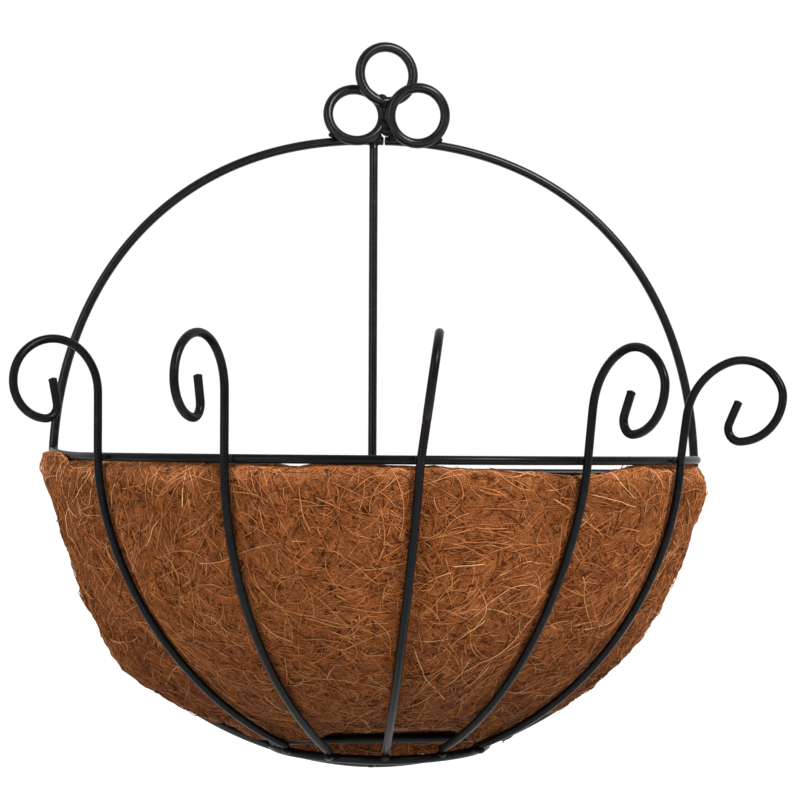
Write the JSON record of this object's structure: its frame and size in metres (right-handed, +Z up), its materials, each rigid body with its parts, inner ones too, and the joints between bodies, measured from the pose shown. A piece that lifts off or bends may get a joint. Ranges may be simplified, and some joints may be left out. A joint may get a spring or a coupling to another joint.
{
  "type": "hanging basket",
  "caption": "Half-round wall basket: black wire cage with scroll-topped ribs, a full back hoop and ring finial, holding a removable coconut-fibre liner open at the top.",
  "frame": {"origin": "hanging point: inside top of the top finial ring, where a nail or hook bears", "axes": "+X to the viewer's right, +Y towards the wall, +Z up"},
  "size_m": [0.3152, 0.1974, 0.3359],
  "materials": {
    "black_wire": "satin black plastic-dipped steel wire",
    "coated_weld": "satin black coated weld metal",
    "coir": "matt felted coconut fibre"
  },
  "bodies": {
    "cage": {"back_hoop": "black_wire", "back_spine": "black_wire", "back_cross_bar": "black_wire", "rim_half_ring": "black_wire", "rib_far_left": "black_wire", "rib_left": "black_wire", "rib_centre": "black_wire", "rib_right": "black_wire", "rib_far_right": "black_wire", "base_half_ring": "black_wire", "base_cross_bar": "black_wire", "finial_ring_left": "black_wire", "finial_ring_right": "black_wire", "finial_ring_top": "black_wire", "finial_weld": "coated_weld"},
    "liner": {"coir_liner": "coir"}
  },
  "joints": [
    {"name": "liner_lift", "type": "slide", "parent": "cage", "child": "liner", "axis": [0, 0, 1], "range_m": [0, 0.135]}
  ]
}
